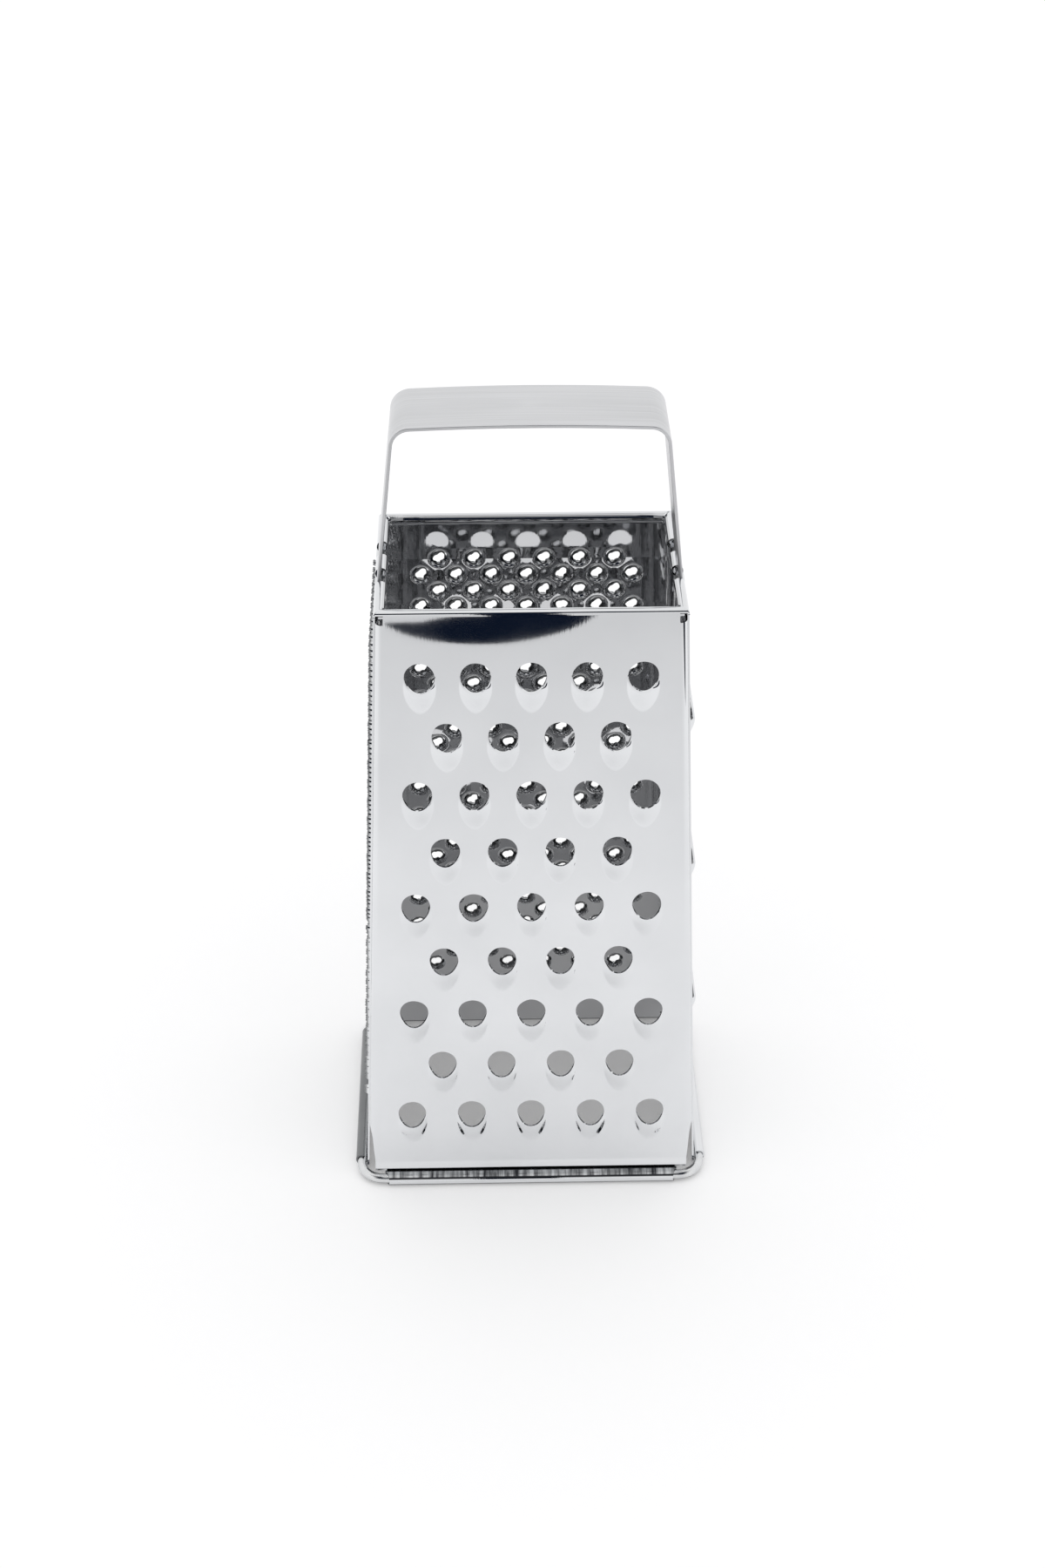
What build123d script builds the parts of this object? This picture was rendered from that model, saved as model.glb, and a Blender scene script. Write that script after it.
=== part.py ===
"""Four-sided box grater in stainless sheet steel, with a bent strap handle.

Two folded walls (coarse teeth in front, medium teeth behind) wrap the upright corners.
Two flat walls (fine burrs on the left, slicing blades on the right) lap over their flanges.
Each wall is rolled inward at the rim and outward round a wire ring at the base.
The origin is the middle of the base, on the surface it stands on; +Z is up, -Y is the front.
"""

import os
from math import atan, cos, degrees, pi, radians, sin, sqrt, tan

from build123d import *

# Overall sizes
overall_height = 230.0
rim_height = 185.5
top_width = 80.8
base_width = 95.8
top_depth = 56.0
base_depth = 72.5

# Sheet metal and its folded corners
sheet = 0.5
bend_radius = 2.0
flange_depth = 5.0
lap_gap = 0.05
lap_setback = 0.6
roll_strips = 14
overrun = 2.0

# Rolled rim
rim_roll_radius = 1.6
rim_roll_sweep = 285.0
mitre_gap = 0.5
corner_notch_gap = 0.4

# Wired base
wire_diameter = 2.8
wire_sides = 10
wire_corner_radius = 6.5
wire_clearance = 0.1
base_roll_sweep = 290.0
foot_flat = 0.05
front_roll_length = 85.0
side_roll_length = 61.0
roll_end_skew = 0.4
corner_lift_gap = 0.3
corner_relief_height = 19.0
corner_relief_width = 1.3

# Strap handle
strap_width = 24.0
strap_thickness = 0.9
shoulder_half_width = 35.2
shoulder_drop = 0.9
shoulder_radius = 5.5
prong_width = 6.4
prong_spacing = 14.8
prong_root_height = 2.6
foot_depth = 12.0
seat_gap = 0.05
slot_clearance = 0.3

# Coarse teeth of the front wall
coarse_rows = 9
coarse_first_count = 5
coarse_second_count = 4
coarse_first_row = 18.6
coarse_row_pitch = 17.8
coarse_top_pitch = 14.5
coarse_base_pitch = 17.06
coarse_hole_diameter = 7.9
coarse_hole_sides = 10
coarse_lip_height = 1.9
coarse_mouth_radius = 4.6
coarse_tongue_length = 10.0
coarse_hood_sides = 8

# Medium teeth of the back wall
medium_rows = 29
medium_first_count = 6
medium_second_count = 7
medium_first_row = 14.8
medium_row_pitch = 5.2
medium_top_pitch = 9.7
medium_base_pitch = 11.1
medium_crater_width = 6.2
medium_mouth_width = 3.1
medium_crater_height = 1.2
medium_root_wall = 0.7
crater_sides = 4

# Fine burrs of the left wall, above
fine_rows = 31
fine_first_count = 12
fine_second_count = 11
fine_first_row = 12.9
fine_row_pitch = 2.95
fine_top_pitch = 4.0
fine_base_pitch = 4.7
fine_burr_width = 2.0
fine_burr_height = 0.9
fine_burr_sides = 3

# Rasp burrs of the left wall, below
rasp_rows = 11
rasp_first_count = 10
rasp_second_count = 9
rasp_first_row = 106.6
rasp_row_pitch = 5.1
rasp_top_pitch = 5.8
rasp_base_pitch = 6.3
rasp_burr_width = 3.0
rasp_burr_height = 1.1
rasp_burr_sides = 4

# Slicing blades of the right wall
blade_count = 3
blade_first_edge = 38.5
blade_pitch = 47.2
blade_width = 42.0
blade_lip_height = 1.9
blade_hood_length = 5.4
blade_slot_height = 3.4
blade_slot_radius = 1.5
hood_bulge_place_share = 0.55
hood_bulge_rise_share = 0.8


def lean_of(top, base):
    """Lean of a wall from upright, in radians, from its spans at the rim and the base."""
    return atan((base - top) / 2 / rim_height)


def wall_plane(outward, top, base):
    """Outer face of a wall: origin mid-rim, X along the rim, Y up the slope, Z outward."""
    lean = lean_of(top, base)
    upward = Vector(0, 0, 1)
    normal = outward * cos(lean) + upward * sin(lean)
    origin = outward * (top / 2) + upward * rim_height
    return Plane(origin=origin, x_dir=upward.cross(outward), z_dir=normal)


def section_plane(wall):
    """Cross section of a wall at mid-width: X outward, Y up the slope."""
    return Plane(origin=wall.origin, x_dir=wall.z_dir, z_dir=wall.x_dir * -1)


def level_outward(wall):
    """Level direction that points away from the box."""
    return Vector(wall.z_dir.X, wall.z_dir.Y, 0).normalized()


depth_lean = lean_of(top_depth, base_depth)
width_lean = lean_of(top_width, base_width)
front_wall = wall_plane(Vector(0, -1, 0), top_depth, base_depth)
back_wall = wall_plane(Vector(0, 1, 0), top_depth, base_depth)
left_wall = wall_plane(Vector(-1, 0, 0), top_width, base_width)
right_wall = wall_plane(Vector(1, 0, 0), top_width, base_width)

# Sizes that follow from the driving ones
side_lap = 2 * (sheet / cos(width_lean) + lap_gap)
fold_top_width = top_width - side_lap
fold_base_width = base_width - side_lap
rim_roll_depth = 2 * rim_roll_radius
base_roll_bore = wire_diameter / 2 + wire_clearance
base_roll_radius = base_roll_bore + sheet
base_roll_height = base_roll_radius - foot_flat
corner_lift = base_roll_height + wire_diameter / 2 + corner_lift_gap


def half_width_at(height):
    """Half the width over the folded walls at a height."""
    share = height / rim_height
    return (fold_base_width + (fold_top_width - fold_base_width) * share) / 2


def half_depth_at(height):
    """Half the depth over the front and back walls at a height."""
    share = height / rim_height
    return (base_depth + (top_depth - base_depth) * share) / 2


def base_roll_drop(lean):
    """Distance down a wall's slope from the rim to the middle of its base roll."""
    return (rim_height - base_roll_height + base_roll_bore * sin(lean)) / cos(lean)


def curl(centre, radius, start, sweep):
    """Corners of a curl round a centre, made of equal flat strips."""
    corners = []
    for strip in range(roll_strips + 1):
        angle = radians(start + sweep * strip / roll_strips)
        corners.append((centre[0] + radius * cos(angle), centre[1] + radius * sin(angle)))
    return corners


def rolled_edge(wall, centre, radius, start, sweep, reach):
    """A band of sheet curled round a centre in the wall's cross section."""
    outside = curl(centre, radius, start, sweep)
    inside = curl(centre, radius - sheet, start, sweep)
    with BuildPart() as roll:
        with BuildSketch(section_plane(wall)):
            Polygon(*outside, *reversed(inside), align=None)
        extrude(amount=reach, both=True)
    return roll.part


def trim_ends(band, wall, across, reach, skew):
    """Cut both ends of a band by upright planes, skewed outward by a share."""
    outward = level_outward(wall)
    with BuildPart() as trimmed:
        add(band)
        for side in (-1, 1):
            end = outward * across + wall.x_dir * (side * reach)
            facing = wall.x_dir * side + outward * skew
            split(bisect_by=Plane(origin=end, z_dir=facing), keep=Keep.BOTTOM)
    return trimmed.part


def rim_roll(wall, across, along):
    """Inward roll along the rim, mitred at the corners of the box."""
    centre = (-rim_roll_radius, -rim_roll_radius)
    band = rolled_edge(wall, centre, rim_roll_radius, 0, rim_roll_sweep, along / 2)
    return trim_ends(band, wall, across / 2, along / 2 - mitre_gap / sqrt(2), -1)


def base_roll(wall, lean, across, length):
    """Outward roll that wraps the wire, flattened where it stands."""
    centre = (base_roll_bore, -base_roll_drop(lean))
    band = rolled_edge(wall, centre, base_roll_radius, 180, base_roll_sweep, length / 2 + overrun)
    with BuildPart() as foot:
        add(trim_ends(band, wall, across / 2, length / 2, roll_end_skew))
        split(bisect_by=Plane.XY, keep=Keep.TOP)
    return foot.part


def tapered_block(inset, radius):
    """The box between its four walls, drawn in by an inset, with rounded upright corners."""
    width_inset = inset / cos(width_lean)
    depth_inset = inset / cos(depth_lean)
    with BuildPart() as block:
        with BuildSketch(Plane.XZ):
            Polygon(
                (-fold_base_width / 2 + width_inset, 0),
                (fold_base_width / 2 - width_inset, 0),
                (fold_top_width / 2 - width_inset, rim_height),
                (-fold_top_width / 2 + width_inset, rim_height),
                align=None,
            )
        extrude(amount=base_depth, both=True)
        with BuildSketch(Plane.YZ):
            Polygon(
                (-base_depth / 2 + depth_inset, 0),
                (base_depth / 2 - depth_inset, 0),
                (top_depth / 2 - depth_inset, rim_height),
                (-top_depth / 2 + depth_inset, rim_height),
                align=None,
            )
        extrude(amount=base_width, both=True, mode=Mode.INTERSECT)
        corners = block.edges().filter_by(lambda edge: edge.length > rim_height * cos(width_lean))
        fillet(corners, radius)
    return block.part


def corner_cut(height_from, height_to, half_from, half_to):
    """Corner of a sketch outside a slanted line, on both sides of the middle."""
    beyond = base_width
    Polygon(
        (half_from, height_from),
        (beyond, height_from),
        (beyond, height_to),
        (half_to, height_to),
        align=None,
    )
    mirror(about=Plane.YZ)


def folded_wall(wall):
    """Front or back wall: a face, two rounded bends and two flanges, rolled at rim and base."""
    rim_edge = Plane(origin=wall.origin - wall.y_dir * rim_roll_radius, z_dir=wall.y_dir)
    base_edge = Plane(origin=wall.origin - wall.y_dir * base_roll_drop(depth_lean), z_dir=wall.y_dir)
    flange_edge = Plane(origin=wall.origin - wall.z_dir * flange_depth, z_dir=wall.z_dir)
    notch_height = rim_height - rim_roll_depth - corner_notch_gap
    relief_half = half_width_at(corner_relief_height) - sheet
    with BuildPart() as fold:
        add(tapered_block(0, bend_radius))
        add(tapered_block(sheet, bend_radius - sheet), mode=Mode.SUBTRACT)
        split(bisect_by=flange_edge, keep=Keep.TOP)
        split(bisect_by=rim_edge, keep=Keep.BOTTOM)
        split(bisect_by=base_edge, keep=Keep.TOP)
        with BuildSketch(Plane.XZ):
            notch_half = half_width_at(rim_height) - bend_radius
            corner_cut(notch_height, overall_height, notch_half, notch_half)
            corner_cut(0, corner_lift, front_roll_length / 2, front_roll_length / 2)
            corner_cut(0, corner_relief_height, relief_half - corner_relief_width, relief_half)
        extrude(amount=base_depth, both=True, mode=Mode.SUBTRACT)
        add(rim_roll(wall, top_depth, top_width))
        add(base_roll(wall, depth_lean, base_depth, front_roll_length))
    return fold.part


def flat_wall(wall):
    """Left or right wall: a flat plate over the flanges, rolled at rim and base."""
    setback = bend_radius + lap_setback
    rim_drop = rim_roll_radius
    base_drop = base_roll_drop(width_lean)
    rim_half = half_depth_at(rim_height - rim_drop * cos(width_lean)) - setback
    base_half = half_depth_at(rim_height - base_drop * cos(width_lean)) - setback
    with BuildPart() as plate:
        with BuildSketch(wall):
            Polygon(
                (-base_half, -base_drop),
                (base_half, -base_drop),
                (rim_half, -rim_drop),
                (-rim_half, -rim_drop),
                align=None,
            )
        extrude(amount=-sheet)
        with BuildSketch(Plane.YZ):
            corner_cut(0, corner_lift, side_roll_length / 2, side_roll_length / 2)
        extrude(amount=base_width, both=True, mode=Mode.SUBTRACT)
        add(slotted_rim_roll(wall))
        add(base_roll(wall, width_lean, base_width, side_roll_length))
    return plate.part


def slotted_rim_roll(wall):
    """Rim roll of a side wall, cut through twice for the prongs of the handle."""
    with BuildPart() as slotted:
        add(rim_roll(wall, top_width, top_depth))
        with BuildSketch(Plane.YZ):
            with Locations((-prong_spacing / 2, rim_height), (prong_spacing / 2, rim_height)):
                Rectangle(prong_width + 2 * slot_clearance, 2 * rim_roll_depth + overrun)
        extrude(amount=top_width, both=True, mode=Mode.SUBTRACT)
    return slotted.part


def staggered_rows(rows, first_count, second_count, first_row, row_pitch, top_pitch, base_pitch):
    """Points of rows that alternate in count and splay out down the wall."""
    points = []
    for row in range(rows):
        count = second_count if row % 2 else first_count
        pitch = top_pitch + (base_pitch - top_pitch) * row / (rows - 1)
        height = -first_row - row * row_pitch
        for column in range(count):
            points.append(((column - (count - 1) / 2) * pitch, height))
    return points


def on_wall(wall, points):
    """Locations of points on a wall's outer face."""
    return [wall.location * Location((across, up, 0)) for across, up in points]


def tapering_solid(radius, slope, sides, low, high):
    """Solid about the Z axis with flat sides that draw in by a slope; the radius is at zero."""
    with BuildPart() as solid:
        with BuildSketch(Plane.XY.offset(low)):
            RegularPolygon(radius - slope * low, sides)
        extrude(amount=high - low, taper=degrees(atan(slope * cos(pi / sides))))
    return solid.part


def coarse_hood(inset):
    """Half cone that sinks into the wall below a hole, drawn in by an inset."""
    hole_radius = coarse_hole_diameter / 2
    slope = coarse_lip_height / (coarse_tongue_length - hole_radius)
    sunk = coarse_mouth_radius - slope * coarse_tongue_length
    length = coarse_tongue_length + sheet
    axis = Plane(origin=(0, 0, -sunk), x_dir=(1, 0, 0), z_dir=(0, -1, 0))
    cone = tapering_solid(coarse_mouth_radius - inset, slope, coarse_hood_sides, -inset, length)
    with BuildPart() as hood:
        add(cone.moved(axis.location))
        split(bisect_by=Plane.XY.offset(-sheet - inset), keep=Keep.TOP)
    return hood.part


def coarse_hole():
    """Punched hole, cut through the wall and the front of its hood."""
    with BuildPart() as hole:
        with BuildSketch(Plane.XY.offset(-overrun)):
            RegularPolygon(coarse_hole_diameter / 2, coarse_hole_sides)
        extrude(amount=2 * overrun + coarse_lip_height)
    return hole.part


def crater(inset):
    """Burr raised round a punched hole, drawn in at its root by an inset; it crosses at the rim."""
    mouth = medium_mouth_width / 2
    rise = medium_crater_height + (sheet if inset else 0)
    slope = (medium_crater_width / 2 - inset - mouth) / rise
    low = -2 * sheet if inset else -sheet / 2
    high = medium_crater_height + sheet / 2
    radius = mouth + slope * medium_crater_height
    return tapering_solid(radius, slope, crater_sides, low, high)


def burr(width, height, sides):
    """Pointed spike that stands on the wall."""
    with BuildPart() as spike:
        with BuildSketch():
            RegularPolygon(width / 2, sides, rotation=90)
        loft(sections=[spike.pending_faces[0], Vertex(0, 0, height)], ruled=True)
    return spike.part


def blade_hood(inset):
    """Raised lip of a slicing blade: bulged below its edge, sloped at its ends, drawn in by an inset."""
    lip = blade_lip_height - inset
    length = blade_hood_length - inset
    half = blade_width / 2 - inset
    with BuildPart() as hood:
        with BuildSketch(Plane.YZ):
            with BuildLine():
                edge = (inset, lip)
                bulge = (-length * hood_bulge_place_share, lip * hood_bulge_rise_share)
                root = (-length, 0)
                ThreePointArc(edge, bulge, root)
                Polyline(root, (-length, -sheet - inset), (inset, -sheet - inset), edge)
            make_face()
        extrude(amount=half + overrun, both=True)
        for side in (-1, 1):
            split(bisect_by=Plane(origin=(side * half, 0, 0), z_dir=(side, 0, 1)), keep=Keep.BOTTOM)
    return hood.part


def blade_slot():
    """Slot above a blade's edge, with rounded upper corners."""
    with BuildPart() as slot:
        with BuildSketch(Plane.XY.offset(-overrun)):
            with Locations((0, blade_slot_height / 2)):
                Rectangle(blade_width - 2 * sheet, blade_slot_height)
            fillet(slot_corners(), blade_slot_radius)
        extrude(amount=2 * overrun + blade_lip_height)
    return slot.part


def slot_corners():
    """Upper corners of the sketch in hand."""
    return vertices().group_by(Axis.Y)[-1]


# Front wall with the coarse teeth
coarse_points = staggered_rows(
    coarse_rows,
    coarse_first_count,
    coarse_second_count,
    coarse_first_row,
    coarse_row_pitch,
    coarse_top_pitch,
    coarse_base_pitch,
)
with BuildPart() as front_panel:
    add(folded_wall(front_wall))
    with Locations(*on_wall(front_wall, coarse_points)):
        add(coarse_hood(0))
        add(coarse_hood(sheet), mode=Mode.SUBTRACT)
        add(coarse_hole(), mode=Mode.SUBTRACT)

# Back wall with the medium teeth
medium_points = staggered_rows(
    medium_rows,
    medium_first_count,
    medium_second_count,
    medium_first_row,
    medium_row_pitch,
    medium_top_pitch,
    medium_base_pitch,
)
with BuildPart() as back_panel:
    add(folded_wall(back_wall))
    with Locations(*on_wall(back_wall, medium_points)):
        add(crater(0))
        add(crater(medium_root_wall), mode=Mode.SUBTRACT)

# Left wall with fine burrs above and rasp burrs below
fine_points = staggered_rows(
    fine_rows,
    fine_first_count,
    fine_second_count,
    fine_first_row,
    fine_row_pitch,
    fine_top_pitch,
    fine_base_pitch,
)
rasp_points = staggered_rows(
    rasp_rows,
    rasp_first_count,
    rasp_second_count,
    rasp_first_row,
    rasp_row_pitch,
    rasp_top_pitch,
    rasp_base_pitch,
)
with BuildPart() as left_panel:
    add(flat_wall(left_wall))
    with Locations(*on_wall(left_wall, fine_points)):
        add(burr(fine_burr_width, fine_burr_height, fine_burr_sides))
    with Locations(*on_wall(left_wall, rasp_points)):
        add(burr(rasp_burr_width, rasp_burr_height, rasp_burr_sides))

# Right wall with the slicing blades
blade_points = [(0, -blade_first_edge - blade * blade_pitch) for blade in range(blade_count)]
with BuildPart() as right_panel:
    add(flat_wall(right_wall))
    with Locations(*on_wall(right_wall, blade_points)):
        add(blade_hood(0))
        add(blade_hood(sheet), mode=Mode.SUBTRACT)
        add(blade_slot(), mode=Mode.SUBTRACT)


def wire_reach(wall, lean):
    """Level distance from the middle of the box to the middle of the wire beside a wall."""
    middle = wall.origin + wall.z_dir * base_roll_bore - wall.y_dir * base_roll_drop(lean)
    return level_outward(wall).dot(middle)


# Wire ring inside the base rolls
wire_x = wire_reach(right_wall, width_lean)
wire_y = wire_reach(front_wall, depth_lean)
with BuildPart() as base_wire:
    with BuildLine(Plane.XY.offset(base_roll_height)) as wire_loop:
        FilletPolyline(
            (-wire_x, -wire_y),
            (wire_x, -wire_y),
            (wire_x, wire_y),
            (-wire_x, wire_y),
            radius=wire_corner_radius,
            close=True,
        )
    with BuildSketch(Plane(origin=wire_loop.wires()[0] @ 0, z_dir=wire_loop.wires()[0] % 0)):
        RegularPolygon(wire_diameter / 2, wire_sides)
    sweep()

# Strap handle: a shallow arch, two legs, and prongs that pass the rolled rim
rim_x = top_width / 2 - sheet / cos(width_lean) - seat_gap
foot_x = rim_x + foot_depth * tan(width_lean)
foot_height = rim_height - foot_depth
shoulder_height = overall_height - shoulder_drop
prong_root = rim_height + prong_root_height
prong_cut = 2 * (foot_depth + overrun)
with BuildPart() as handle_strap:
    with BuildSketch(Plane.XZ):
        with BuildLine() as strap_line:
            left_shoulder = (-shoulder_half_width, shoulder_height)
            right_shoulder = (shoulder_half_width, shoulder_height)
            Polyline((foot_x, foot_height), (rim_x, rim_height), right_shoulder)
            ThreePointArc(right_shoulder, (0, overall_height), left_shoulder)
            Polyline(left_shoulder, (-rim_x, rim_height), (-foot_x, foot_height))
            fillet(strap_line.vertices().group_by(Axis.Y)[-1], shoulder_radius)
            offset(amount=-strap_thickness, side=Side.LEFT)
        make_face()
    extrude(amount=strap_width / 2, both=True)
    with BuildSketch(Plane.YZ):
        with Locations((0, prong_root)):
            Rectangle(prong_spacing - prong_width, prong_cut, align=(Align.CENTER, Align.MAX))
            for side, align in ((-1, Align.MAX), (1, Align.MIN)):
                with Locations((side * (prong_spacing + prong_width) / 2, 0)):
                    Rectangle(strap_width, prong_cut, align=(align, Align.MAX))
    extrude(amount=top_width, both=True, mode=Mode.SUBTRACT)

# One file for each piece
os.makedirs("parts", exist_ok=True)
pieces = {
    "front_panel": front_panel,
    "back_panel": back_panel,
    "left_panel": left_panel,
    "right_panel": right_panel,
    "base_wire": base_wire,
    "handle_strap": handle_strap,
}
for name, piece in pieces.items():
    piece.part.label = name
    export_step(piece.part, f"parts/{name}.step")
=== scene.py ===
"""Looks of the stainless box grater: sheet walls, wire, strap, steel finishes, studio and camera."""

from math import asin, atan, cos, pi, radians, sin, sqrt, tan

import bmesh
import bpy
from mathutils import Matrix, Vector, noise
from mathutils.geometry import delaunay_2d_cdt


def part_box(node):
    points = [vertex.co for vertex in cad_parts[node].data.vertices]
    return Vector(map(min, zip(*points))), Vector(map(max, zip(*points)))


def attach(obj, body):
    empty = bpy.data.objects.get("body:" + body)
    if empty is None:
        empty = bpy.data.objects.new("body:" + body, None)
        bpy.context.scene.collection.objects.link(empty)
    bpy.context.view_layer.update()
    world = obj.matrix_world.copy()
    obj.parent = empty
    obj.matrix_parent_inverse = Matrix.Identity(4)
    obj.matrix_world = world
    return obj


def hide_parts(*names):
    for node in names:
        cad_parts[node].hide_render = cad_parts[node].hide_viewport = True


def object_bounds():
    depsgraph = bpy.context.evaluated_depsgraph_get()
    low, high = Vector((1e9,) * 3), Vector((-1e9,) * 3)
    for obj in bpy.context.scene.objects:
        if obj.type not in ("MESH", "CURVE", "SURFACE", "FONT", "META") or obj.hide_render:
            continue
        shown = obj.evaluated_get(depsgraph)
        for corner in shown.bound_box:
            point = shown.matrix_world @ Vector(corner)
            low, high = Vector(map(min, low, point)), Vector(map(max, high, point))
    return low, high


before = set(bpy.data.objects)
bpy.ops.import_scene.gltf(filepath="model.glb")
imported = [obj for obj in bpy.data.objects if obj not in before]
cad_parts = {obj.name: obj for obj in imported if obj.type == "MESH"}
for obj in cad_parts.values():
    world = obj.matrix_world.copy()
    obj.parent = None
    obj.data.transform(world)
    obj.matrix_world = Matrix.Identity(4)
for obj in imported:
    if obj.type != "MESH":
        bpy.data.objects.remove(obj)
cad_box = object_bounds()

# Shapes are in millimetres, turned into metres where a mesh is made; finishes are in metres
MM = 0.001

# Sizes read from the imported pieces
strap_low, strap_high = (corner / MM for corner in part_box("handle_strap"))
wire_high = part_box("base_wire")[1] / MM

# Driving sizes of the box, the same as the solids have
rim_height = 185.5
top_width = 80.8
base_width = 95.8
top_depth = 56.0
base_depth = 72.5
sheet = 0.5
bend_radius = 2.0
flange_depth = 5.0
lap_gap = 0.05
lap_setback = 0.6
rim_roll_radius = 1.6
rim_roll_sweep = radians(285)
mitre_gap = 0.5
corner_notch_gap = 0.4
wire_diameter = 2.8
wire_corner_radius = 6.5
wire_clearance = 0.1
base_roll_sweep = radians(290)
foot_flat = 0.05
front_roll_length = 85.0
side_roll_length = 61.0
roll_end_skew = 0.4
corner_lift_gap = 0.3
corner_relief_height = 19.0
corner_relief_width = 1.3
strap_thickness = 0.9
strap_edge_radius = 0.22
shoulder_half_width = 35.2
shoulder_drop = 0.9
shoulder_radius = 5.5
prong_width = 6.4
prong_spacing = 14.8
prong_root_height = 2.6
foot_depth = 12.0
seat_gap = 0.05
slot_clearance = 0.3

# The front rim is drawn rolled a little tighter and higher than the solid's flat strips
front_roll_radius = 1.25
front_roll_lift = 0.4

# Sizes that follow
width_lean = atan((base_width - top_width) / 2 / rim_height)
depth_lean = atan((base_depth - top_depth) / 2 / rim_height)
side_lap = 2 * (sheet / cos(width_lean) + lap_gap)
base_roll_bore = wire_diameter / 2 + wire_clearance
base_roll_height = base_roll_bore + sheet - foot_flat
corner_lift = base_roll_height + wire_diameter / 2 + corner_lift_gap
notch_height = rim_height - 2 * rim_roll_radius - corner_notch_gap
overall_height = strap_high.z
strap_width = strap_high.y - strap_low.y


def half_width_at(height):
    """Half the width over the folded walls at a height."""
    return (base_width + (top_width - base_width) * height / rim_height - side_lap) / 2


def half_depth_at(height):
    """Half the depth over the front and back walls at a height."""
    return (base_depth + (top_depth - base_depth) * height / rim_height) / 2


class Wall:
    """Outer face of a wall: X along the rim, Y up the slope, Z outward; the origin is mid-rim."""

    def __init__(self, outward, reach, lean):
        up = Vector((0, 0, 1))
        self.lean = lean
        self.outward = Vector(outward)
        self.normal = self.outward * cos(lean) + up * sin(lean)
        self.along = up.cross(self.outward)
        self.slope = self.normal.cross(self.along)
        self.origin = self.outward * reach + up * rim_height

    def point(self, x, y, z=0.0):
        """Place of a point given along, up the slope and outward."""
        return self.origin + self.along * x + self.slope * y + self.normal * z

    def drop_to(self, height, outward=0.0):
        """Distance down the slope from the rim to a height."""
        return (rim_height - height + outward * sin(self.lean)) / cos(self.lean)

    def height_of(self, y):
        """Height above the base of a point on the slope."""
        return rim_height + y * cos(self.lean)


front = Wall((0, -1, 0), top_depth / 2, depth_lean)
back = Wall((0, 1, 0), top_depth / 2, depth_lean)
left = Wall((-1, 0, 0), top_width / 2, width_lean)
right = Wall((1, 0, 0), top_width / 2, width_lean)


def smoothstep(low, high, value):
    """Smooth ramp from 0 to 1 between two values."""
    share = min(1.0, max(0.0, (value - low) / (high - low)))
    return share * share * (3 - 2 * share)


def mix(low, high, share):
    """Value a share of the way from low to high."""
    return low + (high - low) * share


def seeded(*place):
    """Steady value from -1 to 1 for a place in a pattern."""
    return noise.noise(Vector(place) * 7.31 + Vector((0.37, 0.71, 0.13)))


def seeded_round(place, turn, liveliness):
    """Steady value from -1 to 1 that runs unbroken round a place."""
    x = place[0] + liveliness * cos(turn)
    y = place[1] + liveliness * sin(turn)
    return seeded(x, y, 0.0)


def inset(outline, margin):
    """Outline moved inward by a margin; it runs anticlockwise."""
    corners = [Vector(point) for point in outline]
    moved = []
    for before, corner, after in zip(corners[-1:] + corners, corners, corners[1:] + corners[:1]):
        first = (corner - before).normalized().orthogonal()
        second = (after - corner).normalized().orthogonal()
        moved.append(corner + (first + second) * (margin / (1 + first.dot(second))))
    return moved


# Width of the flat strip round every bend and formed part, which keeps the flat sheet's shading flat
flat_margin = 0.35

# Points this close are welded
sheet_weld = 0.004
wire_weld = 0.002

# Turns between faces above which an edge stays sharp
sheet_sharp_angle = radians(50)
wire_sharp_angle = radians(40)

# Output of the triangulation that makes faces fit for a mesh, and its tolerance
cdt_mesh_faces = 4
cdt_tolerance = 1e-5


def smooth_object(name, points, faces, weld, facing=None):
    """Object in metres with welded, smooth faces, of which the largest faces a given way."""
    mesh = bpy.data.meshes.new(name)
    mesh.from_pydata([point * MM for point in points], [], faces)
    bm = bmesh.new()
    bm.from_mesh(mesh)
    bmesh.ops.remove_doubles(bm, verts=bm.verts, dist=weld * MM)
    bmesh.ops.recalc_face_normals(bm, faces=bm.faces)
    if facing:
        largest = max(bm.faces, key=lambda face: face.calc_area())
        if largest.normal.dot(facing) < 0:
            bmesh.ops.reverse_faces(bm, faces=bm.faces)
    for face in bm.faces:
        face.smooth = True
    bm.to_mesh(mesh)
    bm.free()
    piece = bpy.data.objects.new(name, mesh)
    bpy.context.scene.collection.objects.link(piece)
    return piece


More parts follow.
